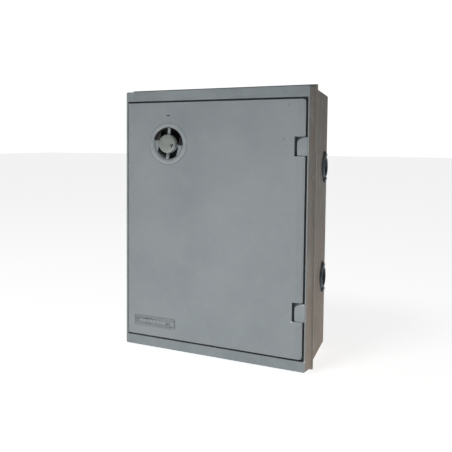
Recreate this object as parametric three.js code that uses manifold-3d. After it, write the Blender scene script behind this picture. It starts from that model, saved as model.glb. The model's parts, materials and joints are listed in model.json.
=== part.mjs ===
// A flush-mounted outdoor meter cabinet: a deep moulded back box, a front frame with a hinged
// door, a recessed turn handle with a key barrel, two side cable entries, and a meter socket on
// a board inside. Millimetres. X runs to the right, Y from the door towards the wall, Z up.
// The origin is the centre of the flat back face.

import * as THREE from 'three';
import { mergeVertices } from 'three/addons/utils/BufferGeometryUtils.js';
import Module from 'manifold-3d';

// ---- driving dimensions ------------------------------------------------------------------

const WIDTH = 430;                    // front frame, across its front edge
const HEIGHT = 596;
const DEPTH = 195;                    // front of the frame to the back of the box
const GAP = 0.3;                      // air between pieces that touch
const FRONT = -DEPTH;
const SIDE = WIDTH / 2;               // the frame's right-hand edge, and minus its left-hand edge

const FRAME = {
  depth: 46, flare: 3.2, wall: 4, hingeWall: 2.4, corner: 3,
  strip: 22, rebateWall: 3.5, ledgeFront: 20, ledgeThick: 3.5,
  flangeReach: 2.6, flangeThick: 3,
};
const FRAME_REAR = FRONT + FRAME.depth;
const LEDGE_FRONT = FRONT + FRAME.ledgeFront;
const LEDGE_REAR = LEDGE_FRONT + FRAME.ledgeThick;
const LEDGE_OPENING = { left: 30 - SIDE, right: SIDE - 49, bottom: -248, top: 247 };
const MOUTH = {
  left: FRAME.wall - SIDE, right: SIDE - FRAME.hingeWall,
  bottom: -HEIGHT / 2 + FRAME.strip, top: HEIGHT / 2 - FRAME.strip,
};

const BOX = {
  halfWidth: SIDE + 0.5, halfHeight: 298.5, wall: 4, draft: -8, corner: 6, rim: 3.5, rimThick: 2.5,
};
const BOX_FRONT = FRAME_REAR + GAP;

const DOOR = {
  left: MOUTH.left + 0.7, right: SIDE - 7.8, bottom: -272.5, top: 271.8,
  recess: 1, skin: 3.5, wall: 3.5, corner: 6,
};
const DOOR_FRONT = FRONT + DOOR.recess;
const SKIN_BACK = DOOR_FRONT + DOOR.skin;
const DOOR_REAR = FRONT + 16;
const LAND = { left: 14 - SIDE, right: SIDE - 34.5, bottom: -264, top: 262, width: 9, rear: FRONT + 14 };

const HINGE = { x: SIDE - 14, y: FRONT + 9, pinRadius: 2.5, pinLength: 66, knuckle: 14 };
const HINGE_HEIGHTS = [-172.5, 174.4];
const NOTCH = { left: SIDE - 30.2, half: 20.3 };
const BLOCK = { left: SIDE - 24.2, right: MOUTH.right - GAP, half: 19, shoulder: 10 };

const LOCK = {
  x: 108.5 - SIDE, z: 178.5, tilt: THREE.MathUtils.degToRad(4),
  ring: 46.5, ringProud: 1.3, mouth: 38, bore: 34, cup: 37, depth: 22, floor: 3,
  boss: 21, bossProud: 5.7, web: 6,
  chord: 24, chordTurn: 8, ledge: { foot: 20, footDepth: 6, rimDepth: 3.5 },
};
const CAM = { front: LEDGE_REAR + 3.1, thick: 3, length: 92, width: 20, hub: 13, square: 10 };
const KEY = { offset: 13, drop: 4, radius: 5 };

const BOARD = { halfWidth: 165, halfHeight: 250, thick: 12, rear: -12 };
const BOARD_FRONT = BOARD.rear - BOARD.thick;
const SOCKET = { z: 10, halfWidth: 95, halfHeight: 118, thick: 28, columns: 48, jawRow: 66, lugRow: 98 };
const SOCKET_FRONT = BOARD_FRONT - GAP - SOCKET.thick;

const ENTRY = {
  y: -35, heights: [-125, 127], bore: 19, sleeve: 23.4, sleeveLength: 14,
  flange: 26, ear: 8, earOffset: 27, thick: 5, nut: 30, nutThick: 6,
};
const LEVELS = ['lower', 'upper'];
const DRAFT_ANGLE = Math.atan2(-BOX.draft, -BOX_FRONT);

// ---- finishes ----------------------------------------------------------------------------

const FINISHES = {
  frameGrey: { color: 0x858f92, roughness: 0.55, metalness: 0 },
  doorGrey: { color: 0x8d9497, roughness: 0.6, metalness: 0 },
  boxGrey: { color: 0x6b665f, roughness: 0.7, metalness: 0 },
  lockGrey: { color: 0x99a2a6, roughness: 0.45, metalness: 0 },
  entryBlue: { color: 0x3e4a52, roughness: 0.5, metalness: 0 },
  rubber: { color: 0x1c1d1e, roughness: 0.9, metalness: 0 },
  steel: { color: 0xa8abad, roughness: 0.4, metalness: 1 },
  zinc: { color: 0x989a8f, roughness: 0.5, metalness: 0.8 },
  brass: { color: 0xb08d4a, roughness: 0.35, metalness: 1 },
  copper: { color: 0xb9b5ab, roughness: 0.35, metalness: 1 },
  board: { color: 0x9b7b52, roughness: 0.8, metalness: 0 },
  phenolic: { color: 0x2b2422, roughness: 0.45, metalness: 0 },
};

// ---- solids ------------------------------------------------------------------------------

const wasm = await Module();
wasm.setup();

function signedVolume(points, triangles) {
  const [a, b, c] = [new THREE.Vector3(), new THREE.Vector3(), new THREE.Vector3()];
  let volume = 0;
  for (let i = 0; i < triangles.length; i += 3) {
    a.fromArray(points, 3 * triangles[i]);
    b.fromArray(points, 3 * triangles[i + 1]);
    c.fromArray(points, 3 * triangles[i + 2]);
    volume += a.dot(b.cross(c)) / 6;
  }
  return volume;
}

function solid(geometry) {
  const bare = geometry.clone();
  bare.deleteAttribute('normal');
  bare.deleteAttribute('uv');
  const merged = mergeVertices(bare, 1e-4);
  const points = Float32Array.from(merged.attributes.position.array);
  const index = merged.index.array;
  const kept = [];
  for (let i = 0; i < index.length; i += 3) {
    const [a, b, c] = [index[i], index[i + 1], index[i + 2]];
    if (a !== b && b !== c && c !== a) kept.push(a, b, c);
  }
  if (signedVolume(points, kept) < 0) kept.reverse();
  return new wasm.Manifold(new wasm.Mesh({
    numProp: 3, vertProperties: points, triVerts: Uint32Array.from(kept),
  }));
}

function fuse(...pieces) {
  return pieces.reduce((whole, piece) => whole.add(piece));
}

function cut(whole, ...tools) {
  return tools.reduce((rest, tool) => rest.subtract(tool), whole);
}

function geometryOf(body) {
  const mesh = body.getMesh();
  const geometry = new THREE.BufferGeometry();
  geometry.setAttribute('position', new THREE.Float32BufferAttribute(mesh.vertProperties, 3));
  geometry.setIndex(Array.from(mesh.triVerts));
  geometry.computeVertexNormals();
  return geometry;
}

const cabinet = new THREE.Group();

function place(name, finish, body, parent = cabinet) {
  const mesh = new THREE.Mesh(geometryOf(body), new THREE.MeshStandardMaterial(FINISHES[finish]));
  mesh.name = name;
  parent.add(mesh);
  return mesh;
}

// ---- shapes ------------------------------------------------------------------------------

function block(x0, x1, y0, y1, z0, z1) {
  const geometry = new THREE.BoxGeometry(x1 - x0, y1 - y0, z1 - z0);
  return solid(geometry.translate((x0 + x1) / 2, (y0 + y1) / 2, (z0 + z1) / 2));
}

// A flat shape drawn across the front (X and Z) and given thickness from front to rear.
function plateGeometry(shape, front, rear, steps = 4) {
  const geometry = new THREE.ExtrudeGeometry(shape, {
    depth: rear - front, bevelEnabled: false, curveSegments: steps,
  });
  return geometry.rotateX(Math.PI / 2).translate(0, rear, 0);
}

function plate(shape, front, rear, steps) {
  return solid(plateGeometry(shape, front, rear, steps));
}

function centred(halfWidth, halfHeight) {
  return { left: -halfWidth, right: halfWidth, bottom: -halfHeight, top: halfHeight };
}

function grown(rect, by) {
  return { left: rect.left - by, right: rect.right + by, bottom: rect.bottom - by, top: rect.top + by };
}

function rectangle(rect, radius = 0) {
  const shape = new THREE.Shape();
  if (radius === 0) {
    shape.moveTo(rect.left, rect.bottom);
    shape.lineTo(rect.right, rect.bottom);
    shape.lineTo(rect.right, rect.top);
    shape.lineTo(rect.left, rect.top);
    return shape;
  }
  const { left, right, bottom, top } = grown(rect, -radius);
  shape.absarc(right, bottom, radius, -Math.PI / 2, 0);
  shape.absarc(right, top, radius, 0, Math.PI / 2);
  shape.absarc(left, top, radius, Math.PI / 2, Math.PI);
  shape.absarc(left, bottom, radius, Math.PI, 1.5 * Math.PI);
  return shape;
}

function ring(outer, inner, front, rear, radius = 0) {
  return cut(
    plate(rectangle(outer, radius), front, rear),
    plate(rectangle(inner), front - 1, rear + 1),
  );
}

// Moves every wall of a moulding out (or in) evenly between its narrow and its wide end.
function drafted(geometry, from, to, amount) {
  const position = geometry.attributes.position;
  for (let i = 0; i < position.count; i += 1) {
    const share = amount * (position.getY(i) - from) / (to - from);
    position.setX(i, position.getX(i) + Math.sign(position.getX(i)) * share);
    position.setZ(i, position.getZ(i) + Math.sign(position.getZ(i)) * share);
  }
  return solid(geometry);
}

// A round piece about an axis that runs front to rear.
function disc(radius, front, rear, x = 0, z = 0, sides = 32) {
  const geometry = new THREE.CylinderGeometry(radius, radius, rear - front, sides);
  return solid(geometry.translate(x, (front + rear) / 2, z));
}

function turned(profile, x = 0, z = 0, sides = 32) {
  const points = profile.map(([radius, y]) => new THREE.Vector2(radius, y));
  return solid(new THREE.LatheGeometry(points, sides).translate(x, 0, z));
}

// A round bar along Z, and one along X.
function uprightBar(radius, x, y, z0, z1, sides = 16) {
  const geometry = new THREE.CylinderGeometry(radius, radius, z1 - z0, sides).rotateX(Math.PI / 2);
  return solid(geometry.translate(x, y, (z0 + z1) / 2));
}

function crossBar(radius, x0, x1, y, z, sides = 32) {
  const geometry = new THREE.CylinderGeometry(radius, radius, x1 - x0, sides).rotateZ(Math.PI / 2);
  return solid(geometry.translate((x0 + x1) / 2, y, z));
}

// Screws point along +Y, with the underside of a pan head, or the face of a flat head, at y = 0.
const SCREW_SIDES = 8;

function panScrew({ head, headHeight, shank, length }) {
  const body = turned([
    [0, -headHeight], [head * 0.6, -headHeight], [head, -headHeight * 0.35], [head, 0],
    [shank, 0], [shank, length - shank], [0, length],
  ], 0, 0, SCREW_SIDES);
  return cut(body, block(-head * 0.7, head * 0.7, -headHeight - 1, -headHeight * 0.5, -0.5, 0.5));
}

function flatScrew({ head, shank, length }) {
  const body = turned([
    [0, 0], [head, 0], [shank, head - shank], [shank, length - shank], [0, length],
  ], 0, 0, SCREW_SIDES);
  return cut(body, block(-head * 0.75, head * 0.75, -1, 1, -0.5, 0.5));
}

function placeScrew(name, body, x, y, z) {
  place(name, 'steel', body).position.set(x, y, z);
}

// ---- back box ----------------------------------------------------------------------------

const FRAME_SCREW = { head: 4.2, shank: 2.1, length: 24, boss: 6.5, bossRear: -100, rib: 2 };
const FRAME_SCREW_PLACES = [-250, 250].flatMap((z) => [[10.5 - SIDE, z], [SIDE - 26, z]]);
const BOARD_SCREW_PLACES = [[-150, -235], [150, -235], [-150, 235], [150, 235]];
const BOARD_SCREW = { head: 4.5, headHeight: 2.6, shank: 2.2, length: 17, hole: 2.6, standoff: 9 };
const WALL_HOLE = { x: SIDE - 23, z: 235, radius: 4.5, pad: 10, padThick: 2 };
const EAR_SCREW = { head: 3.4, headHeight: 2, shank: 1.6, length: 8, hole: 1.9 };

// Turns a shape built on the plain YZ plane onto the slightly drafted right-hand wall.
function onSideWall(z) {
  const share = (ENTRY.y - BOX_FRONT) / -BOX_FRONT;
  const wallX = BOX.halfWidth + BOX.draft * share;
  const group = new THREE.Group();
  group.position.set(wallX, ENTRY.y, z);
  group.rotation.z = DRAFT_ANGLE;
  group.updateMatrix();
  return group;
}

function boxShell() {
  const outline = rectangle(centred(BOX.halfWidth, BOX.halfHeight), BOX.corner);
  const hollow = rectangle(
    centred(BOX.halfWidth - BOX.wall, BOX.halfHeight - BOX.wall), BOX.corner - 2,
  );
  const shell = drafted(plateGeometry(outline, BOX_FRONT, 0), BOX_FRONT, 0, BOX.draft);
  const inside = drafted(plateGeometry(hollow, BOX_FRONT - 1, -BOX.wall), BOX_FRONT, 0, BOX.draft);
  const rimOuter = centred(BOX.halfWidth + BOX.rim, BOX.halfHeight + BOX.rim);
  const rimInner = centred(BOX.halfWidth - 1, BOX.halfHeight - 1);
  return fuse(cut(shell, inside), ring(rimOuter, rimInner, BOX_FRONT, BOX_FRONT + BOX.rimThick, 3));
}

// Each boss that takes a frame screw is tied to the nearest side wall by a rib.
function withFrameBosses(box) {
  return FRAME_SCREW_PLACES.reduce((body, [x, z]) => {
    const boss = disc(FRAME_SCREW.boss, LEDGE_REAR + GAP, FRAME_SCREW.bossRear, x, z, 16);
    const [ribLeft, ribRight] = x < 0 ? [2.5 - SIDE, x] : [x, SIDE - 2.5];
    const rib = block(
      ribLeft, ribRight, BOX_FRONT + 2, FRAME_SCREW.bossRear, z - FRAME_SCREW.rib, z + FRAME_SCREW.rib,
    );
    const pilot = disc(FRAME_SCREW.shank + GAP, LEDGE_REAR - 1, LEDGE_FRONT + 30, x, z, 12);
    return cut(fuse(body, boss, rib), pilot);
  }, box);
}

function withStandoffs(box) {
  return BOARD_SCREW_PLACES.reduce((body, [x, z]) => {
    const standoff = disc(BOARD_SCREW.standoff, BOARD.rear + GAP, -BOX.wall + 1, x, z, 16);
    const pilot = disc(BOARD_SCREW.hole, BOARD.rear - 1, -BOX.wall + 1, x, z, 12);
    return cut(fuse(body, standoff), pilot);
  }, box);
}

function withWallHoles(box) {
  let body = box;
  for (const x of [-WALL_HOLE.x, WALL_HOLE.x]) {
    for (const z of [-WALL_HOLE.z, WALL_HOLE.z]) {
      const padFront = -BOX.wall - WALL_HOLE.padThick;
      const pad = disc(WALL_HOLE.pad, padFront, -1, x, z, 20);
      body = cut(fuse(body, pad), disc(WALL_HOLE.radius, padFront - 1, 1, x, z, 16));
    }
  }
  return body;
}

function withEntryHoles(box) {
  const through = 20;
  let body = box;
  for (const height of ENTRY.heights) {
    const wall = onSideWall(height).matrix;
    const hole = new THREE.CylinderGeometry(ENTRY.sleeve + GAP, ENTRY.sleeve + GAP, through, 32);
    body = cut(body, solid(hole.rotateZ(Math.PI / 2).applyMatrix4(wall)));
    for (const side of [-1, 1]) {
      const pilot = new THREE.CylinderGeometry(EAR_SCREW.hole, EAR_SCREW.hole, through, 12);
      pilot.rotateZ(Math.PI / 2).translate(0, 0, side * ENTRY.earOffset);
      body = cut(body, solid(pilot.applyMatrix4(wall)));
    }
  }
  return body;
}

function backBox() {
  place('back_box', 'boxGrey', withEntryHoles(withWallHoles(withStandoffs(withFrameBosses(boxShell())))));
}

// ---- front frame -------------------------------------------------------------------------

function frontFrame() {
  const outer = rectangle(centred(WIDTH / 2, HEIGHT / 2), FRAME.corner);
  const inner = rectangle({
    left: MOUTH.left, right: MOUTH.right,
    bottom: -HEIGHT / 2 + FRAME.wall, top: HEIGHT / 2 - FRAME.wall,
  });
  const wallFront = FRONT + FRAME.wall;
  const walls = cut(
    drafted(plateGeometry(outer, FRONT, FRAME_REAR), FRONT, FRAME_REAR, FRAME.flare),
    drafted(plateGeometry(inner, wallFront, FRAME_REAR + 1), FRONT, FRAME_REAR, FRAME.flare),
    plate(rectangle(MOUTH), FRONT - 1, wallFront + 1),
  );
  const flangeGrowth = FRAME.flare + FRAME.flangeReach;
  const flangeOuter = centred(WIDTH / 2 + flangeGrowth, HEIGHT / 2 + flangeGrowth);
  const flangeInner = centred(WIDTH / 2 + 1.2, HEIGHT / 2 + 1.2);
  const flange = ring(flangeOuter, flangeInner, FRAME_REAR - FRAME.flangeThick, FRAME_REAR, 2);
  const ledgeOuter = {
    left: MOUTH.left - 3, right: MOUTH.right + 2.7,
    bottom: MOUTH.bottom - FRAME.rebateWall, top: MOUTH.top + FRAME.rebateWall,
  };
  const ledge = ring(ledgeOuter, LEDGE_OPENING, LEDGE_FRONT, LEDGE_REAR);
  const [rebateLeft, rebateRight] = [ledgeOuter.left + 2, ledgeOuter.right - 1.6];
  const rebates = [[MOUTH.top, ledgeOuter.top], [ledgeOuter.bottom, MOUTH.bottom]].map(([low, high]) => (
    block(rebateLeft, rebateRight, FRONT + 1, LEDGE_REAR, low, high)));
  let body = fuse(walls, flange, ledge, ...rebates);

  const hole = FRAME_SCREW.shank + GAP;
  const countersink = [
    [0, -1], [FRAME_SCREW.head + 1 + GAP, -1], [hole, FRAME_SCREW.head - FRAME_SCREW.shank],
    [hole, 8], [0, 8],
  ];
  for (const [x, z] of FRAME_SCREW_PLACES) {
    const profile = countersink.map(([radius, y]) => [radius, y + LEDGE_FRONT]);
    body = cut(body, turned(profile, x, z, SCREW_SIDES));
  }
  for (const z of HINGE_HEIGHTS.flatMap((height) => BLOCK_SCREW.offsets.map((offset) => height + offset))) {
    body = cut(body, disc(BLOCK_SCREW.shank + GAP, LEDGE_FRONT - 1, LEDGE_REAR + 1, HINGE.x, z, 12));
  }
  place('front_frame', 'frameGrey', body);

  FRAME_SCREW_PLACES.forEach(([x, z], number) => {
    placeScrew(`frame_screw_${number + 1}`, flatScrew(FRAME_SCREW), x, LEDGE_FRONT, z);
  });
}

// ---- hinges ------------------------------------------------------------------------------

const BLOCK_SCREW = { head: 3.6, headHeight: 2.4, shank: 1.9, length: 11, offsets: [-12, 12] };

function blockOutline(height) {
  const [bottom, top] = [height - BLOCK.half, height + BLOCK.half];
  const shape = new THREE.Shape();
  shape.moveTo(BLOCK.left + 2, bottom);
  shape.lineTo(BLOCK.right, bottom);
  shape.lineTo(BLOCK.right, top);
  shape.lineTo(BLOCK.right - 5, top);
  shape.quadraticCurveTo(BLOCK.left + 4, top - 2, BLOCK.left, top - BLOCK.shoulder);
  shape.lineTo(BLOCK.left, bottom + 2);
  return shape;
}

function hinge(name, height) {
  const blockFront = FRONT + 0.5;
  const blockRear = LEDGE_FRONT - GAP;
  const pinHole = uprightBar(HINGE.pinRadius + GAP, HINGE.x, HINGE.y, height - 40, height + 40);
  let body = cut(plate(blockOutline(height), blockFront, blockRear), pinHole);
  BLOCK_SCREW.offsets.forEach((offset, number) => {
    const z = height + offset;
    body = cut(body, disc(BLOCK_SCREW.shank + GAP, blockRear - 8, blockRear + 1, HINGE.x, z, 12));
    const mesh = place(`${name}_block_screw_${number + 1}`, 'steel', panScrew(BLOCK_SCREW));
    mesh.rotation.x = Math.PI;
    mesh.position.set(HINGE.x, LEDGE_REAR + GAP, z);
  });
  place(`${name}_hinge_block`, 'frameGrey', body);

  const half = HINGE.pinLength / 2;
  const pin = uprightBar(HINGE.pinRadius, HINGE.x, HINGE.y, height - half, height + half);
  place(`${name}_hinge_pin`, 'steel', pin);
}

// ---- door --------------------------------------------------------------------------------

const LABEL = { x: 75 - SIDE, z: -238.5, width: 106, height: 24, recess: 1.6, border: 2 };
const INDEX_MARK = { z: LOCK.z + 64, width: 9, height: 2.6, depth: 1 };
const DOOR_RIBS = { width: 2.5, rear: SKIN_BACK + 7, upright: [-30, 70], level: [-190, -95, 0, 95] };

function doorOutline(inset) {
  const [left, right] = [DOOR.left + inset, DOOR.right - inset];
  const [bottom, top] = [DOOR.bottom + inset, DOOR.top - inset];
  const radius = Math.max(DOOR.corner - inset, 1);
  const shape = new THREE.Shape();
  shape.moveTo(left, bottom);
  shape.lineTo(right - radius, bottom);
  shape.absarc(right - radius, bottom + radius, radius, -Math.PI / 2, 0);
  for (const height of HINGE_HEIGHTS) {
    const [low, high] = [height - NOTCH.half - inset, height + NOTCH.half + inset];
    shape.lineTo(right, low);
    shape.lineTo(NOTCH.left - inset, low);
    shape.lineTo(NOTCH.left - inset, high);
    shape.lineTo(right, high);
  }
  shape.absarc(right - radius, top - radius, radius, 0, Math.PI / 2);
  shape.lineTo(left, top);
  return shape;
}

function labelRect(inset) {
  const rect = centred(LABEL.width / 2 - inset, LABEL.height / 2 - inset);
  return {
    left: rect.left + LABEL.x, right: rect.right + LABEL.x,
    bottom: rect.bottom + LABEL.z, top: rect.top + LABEL.z,
  };
}

function doorPanel() {
  const tray = cut(
    plate(doorOutline(0), DOOR_FRONT, DOOR_REAR),
    plate(doorOutline(DOOR.wall), SKIN_BACK, DOOR_REAR + 1),
  );
  const land = ring(LAND, grown(LAND, -LAND.width), SKIN_BACK - 1, LAND.rear);
  const rib = DOOR_RIBS.width / 2;
  const uprights = DOOR_RIBS.upright.map((x) => (
    block(x - rib, x + rib, SKIN_BACK - 1, DOOR_RIBS.rear, LAND.bottom + 4, LAND.top - 4)));
  const levels = DOOR_RIBS.level.map((z) => (
    block(LAND.left + 4, LAND.right - 4, SKIN_BACK - 1, DOOR_RIBS.rear, z - rib, z + rib)));
  let body = fuse(tray, land, ...uprights, ...levels);

  for (const height of HINGE_HEIGHTS) {
    for (const side of [-1, 1]) {
      const near = height + side * NOTCH.half;
      const far = near + side * HINGE.knuckle;
      const [low, high] = [Math.min(near, far), Math.max(near, far)];
      const knuckle = block(HINGE.x - 6, DOOR.right - 1, SKIN_BACK - 1, DOOR_REAR, low, high);
      body = fuse(body, knuckle);
    }
    const reach = HINGE.pinLength / 2 + 1;
    const hole = uprightBar(HINGE.pinRadius + GAP, HINGE.x, HINGE.y, height - reach, height + reach);
    body = cut(body, hole);
  }
  const mark = INDEX_MARK;
  body = cut(
    body,
    disc(LOCK.cup + 0.4, DOOR_FRONT - 1, SKIN_BACK + 1, LOCK.x, LOCK.z, 36),
    plate(rectangle(labelRect(-GAP)), DOOR_FRONT - 1, DOOR_FRONT + LABEL.recess),
    block(LOCK.x - mark.width / 2, LOCK.x + mark.width / 2, DOOR_FRONT - 1, DOOR_FRONT + mark.depth,
      mark.z - mark.height / 2, mark.z + mark.height / 2),
  );
  place('door_panel', 'doorGrey', body);
}

function doorGasket() {
  const [outer, inner] = [grown(LAND, -1), grown(LAND, 1 - LAND.width)];
  place('door_gasket', 'rubber', ring(outer, inner, LAND.rear + GAP, LEDGE_FRONT - GAP));
}

function labelPlate() {
  const rear = DOOR_FRONT + LABEL.recess - GAP;
  const base = plate(rectangle(labelRect(0)), rear - 0.7, rear);
  const border = ring(labelRect(0), labelRect(LABEL.border), DOOR_FRONT - 0.1, rear);
  place('label_plate', 'doorGrey', fuse(base, border));
}

// ---- lock --------------------------------------------------------------------------------

const CUP_FLOOR = DOOR_FRONT + LOCK.depth;
const RETAINER = { outer: 44, thick: 5 };

function lockEscutcheon() {
  const ringFront = DOOR_FRONT - GAP - LOCK.ringProud;
  const floorRear = CUP_FLOOR + LOCK.floor;
  const body = turned([
    [9, CUP_FLOOR], [LOCK.bore, CUP_FLOOR], [LOCK.bore, DOOR_FRONT + LOCK.ledge.rimDepth],
    [LOCK.mouth, ringFront],
    [LOCK.ring - 1, ringFront], [LOCK.ring, ringFront + 0.6], [LOCK.ring, DOOR_FRONT - GAP],
    [LOCK.cup, DOOR_FRONT - GAP], [LOCK.cup, floorRear], [9, floorRear], [9, CUP_FLOOR],
  ], LOCK.x, LOCK.z, 36);
  place('lock_escutcheon', 'lockGrey', body);

  const front = SKIN_BACK + GAP;
  const retainer = turned([
    [LOCK.cup + GAP, front], [RETAINER.outer, front], [RETAINER.outer, front + RETAINER.thick],
    [LOCK.cup + GAP, front + RETAINER.thick], [LOCK.cup + GAP, front],
  ], LOCK.x, LOCK.z, 36);
  place('lock_retaining_ring', 'lockGrey', retainer);
}

// The pieces that turn are built round their own axis and stand tilted in a group.
function turningLock() {
  const group = new THREE.Group();
  group.position.set(LOCK.x, 0, LOCK.z);
  group.rotation.y = LOCK.tilt;
  cabinet.add(group);

  const radius = LOCK.bore - 0.5;
  const baseRear = CUP_FLOOR - GAP;
  const bossFront = DOOR_FRONT - LOCK.bossProud;
  const pocketFloor = baseRear - 3;
  const { foot, footDepth, rimDepth } = LOCK.ledge;
  const ledges = turned([
    [foot, DOOR_FRONT + footDepth], [radius, DOOR_FRONT + rimDepth], [radius, baseRear],
    [foot, baseRear], [foot, DOOR_FRONT + footDepth],
  ], 0, 0, 36);
  const pocket = block(-LOCK.chord, LOCK.chord, FRONT, 0, -40, 40).rotate([0, LOCK.chordTurn, 0]);
  const web = block(-LOCK.web / 2, LOCK.web / 2, DOOR_FRONT + 3, baseRear, -radius + 1, radius - 1);
  const square = CAM.square / 2;
  const barrelHole = disc(KEY.radius + GAP, FRONT - 9, DOOR_FRONT + 16, KEY.offset, -KEY.drop, 20);
  const handle = cut(
    fuse(
      disc(radius, pocketFloor, baseRear, 0, 0, 36), cut(ledges, pocket), web,
      disc(LOCK.boss, bossFront + 2, baseRear, 0, 0, 32),
      disc(8.6, baseRear - 1, CUP_FLOOR + LOCK.floor + 0.5, 0, 0, 24),
      block(-square, square, CUP_FLOOR, CAM.front + CAM.thick, -square, square),
    ),
    barrelHole,
    disc(2.8, CAM.front - 8, CAM.front + CAM.thick + 1, 0, 0, 12),
  );
  place('lock_handle', 'lockGrey', handle, group);

  const cap = cut(
    turned([
      [0, bossFront - 0.8], [LOCK.boss - 1.2, bossFront - 0.8], [LOCK.boss - 0.2, bossFront],
      [LOCK.boss - 0.2, bossFront + 2 - GAP], [0, bossFront + 2 - GAP],
    ], 0, 0, 32),
    barrelHole,
  );
  place('lock_cap', 'zinc', cap, group);

  const barrel = cut(
    disc(KEY.radius, bossFront - 0.6, DOOR_FRONT + 15, KEY.offset, -KEY.drop, 20),
    block(KEY.offset - 0.9, KEY.offset + 0.9, FRONT - 9, DOOR_FRONT + 10, -KEY.drop - 3.2, -KEY.drop + 3.2),
  );
  place('key_barrel', 'zinc', barrel, group);

  const end = CAM.width / 2;
  const camRear = CAM.front + CAM.thick;
  const tongue = fuse(
    disc(CAM.hub, CAM.front, camRear, 0, 0, 24),
    block(-end, end, CAM.front, camRear, end - CAM.length, 0),
    disc(end, CAM.front, camRear, 0, end - CAM.length, 20),
  );
  const hole = square + GAP;
  const squareHole = block(-hole, hole, CAM.front - 1, camRear + 1, -hole, hole);
  place('lock_cam', 'steel', cut(tongue, squareHole), group);

  const washerFront = camRear + GAP;
  const washer = turned([
    [3, washerFront], [9, washerFront], [9, washerFront + 1.2], [3, washerFront + 1.2], [3, washerFront],
  ], 0, 0, 20);
  place('cam_washer', 'steel', washer, group);

  const screw = panScrew({ head: 5, headHeight: 3, shank: 2.5, length: 10 });
  const mesh = place('cam_screw', 'steel', screw, group);
  mesh.rotation.x = Math.PI;
  mesh.position.set(0, washerFront + 1.2 + GAP, 0);
}

// ---- side cable entries ------------------------------------------------------------------

function sideEntry(name, z) {
  const group = onSideWall(z);
  cabinet.add(group);
  const outer = ENTRY.thick + 1;
  const earPlaces = [-ENTRY.earOffset, ENTRY.earOffset];
  const ears = earPlaces.map((offset) => crossBar(ENTRY.ear, GAP, ENTRY.thick, 0, offset, 20));
  const screwHoles = earPlaces.map((offset) => crossBar(EAR_SCREW.hole, -2, outer, 0, offset, 12));
  const bush = cut(
    fuse(
      crossBar(ENTRY.flange, GAP, ENTRY.thick, 0, 0), ...ears,
      crossBar(ENTRY.sleeve, -ENTRY.sleeveLength, ENTRY.thick, 0, 0),
    ),
    crossBar(ENTRY.bore, -ENTRY.sleeveLength - 1, outer, 0, 0),
    ...screwHoles,
  );
  place(`${name}_entry_bush`, 'entryBlue', bush, group);

  const nutOuter = -BOX.wall - GAP;
  const nutInner = nutOuter - ENTRY.nutThick;
  const nut = cut(
    crossBar(ENTRY.nut, nutInner, nutOuter, 0, 0, 12),
    crossBar(ENTRY.sleeve + GAP, nutInner - 1, nutOuter + 1, 0, 0),
  );
  place(`${name}_entry_locknut`, 'entryBlue', nut, group);

  earPlaces.forEach((offset, number) => {
    const mesh = place(`${name}_entry_screw_${number + 1}`, 'steel', panScrew(EAR_SCREW), group);
    mesh.rotation.z = Math.PI / 2;
    mesh.position.set(ENTRY.thick + GAP, 0, offset);
  });
}

// ---- meter board and socket --------------------------------------------------------------

const SOCKET_SCREW = { ...BOARD_SCREW, length: 26 };
const SOCKET_SCREW_PLACES = [[0, SOCKET.z - 100], [0, SOCKET.z + 100]];
const WELL = { radius: 6, depth: 8 };
const RIDGE = { halfWidth: 4, height: 14, halfLength: 85, halfSpan: 90 };
const JAW_WIDTH = 22;
const LUG = { halfWidth: 12, height: 24, halfLength: 13, wireHole: 6.5, wireDepth: 11, screwHole: 3.7 };
const LUG_SCREW = { head: 5.2, headHeight: 3.5, shank: 3.3, length: 5 };
const BAR = { halfWidth: 7, thick: 10, halfLength: 45, screwOffset: 28, screwHole: 2.8 };
const BAR_SCREW = { head: 4.6, headHeight: 3, shank: 2.4, length: 8 };
const BARS = [['neutral', 132], ['earth', -132]];

function meterBoard() {
  const screwHoles = [...BOARD_SCREW_PLACES, ...SOCKET_SCREW_PLACES].map(([x, z]) => (
    disc(BOARD_SCREW.hole, BOARD_FRONT - 1, BOARD.rear + 1, x, z, 12)));
  const outline = rectangle(centred(BOARD.halfWidth, BOARD.halfHeight), 4);
  place('meter_board', 'board', cut(plate(outline, BOARD_FRONT, BOARD.rear), ...screwHoles));
  BOARD_SCREW_PLACES.forEach(([x, z], number) => {
    placeScrew(`board_screw_${number + 1}`, panScrew(BOARD_SCREW), x, BOARD_FRONT - GAP, z);
  });
}

function socketBase() {
  const rear = BOARD_FRONT - GAP;
  const outline = rectangle({
    left: -SOCKET.halfWidth, right: SOCKET.halfWidth,
    bottom: SOCKET.z - SOCKET.halfHeight, top: SOCKET.z + SOCKET.halfHeight,
  }, 8);
  const [ridgeFront, ridgeRear] = [SOCKET_FRONT - RIDGE.height, SOCKET_FRONT + 1];
  const { halfWidth, halfLength, halfSpan } = RIDGE;
  const wellFloor = SOCKET_FRONT + WELL.depth;
  const screwWells = SOCKET_SCREW_PLACES.flatMap(([x, z]) => [
    disc(WELL.radius, ridgeFront - 1, wellFloor, x, z, 20),
    disc(BOARD_SCREW.hole, SOCKET_FRONT, rear + 1, x, z, 12),
  ]);
  const body = cut(
    fuse(
      plate(outline, SOCKET_FRONT, rear),
      block(-halfWidth, halfWidth, ridgeFront, ridgeRear, SOCKET.z - halfLength, SOCKET.z + halfLength),
      block(-halfSpan, halfSpan, ridgeFront, ridgeRear, SOCKET.z - halfWidth, SOCKET.z + halfWidth),
    ),
    ...screwWells,
  );
  place('socket_base', 'phenolic', body);
  SOCKET_SCREW_PLACES.forEach(([x, z], number) => {
    placeScrew(`socket_screw_${number + 1}`, panScrew(SOCKET_SCREW), x, wellFloor - GAP, z);
  });
}

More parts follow.
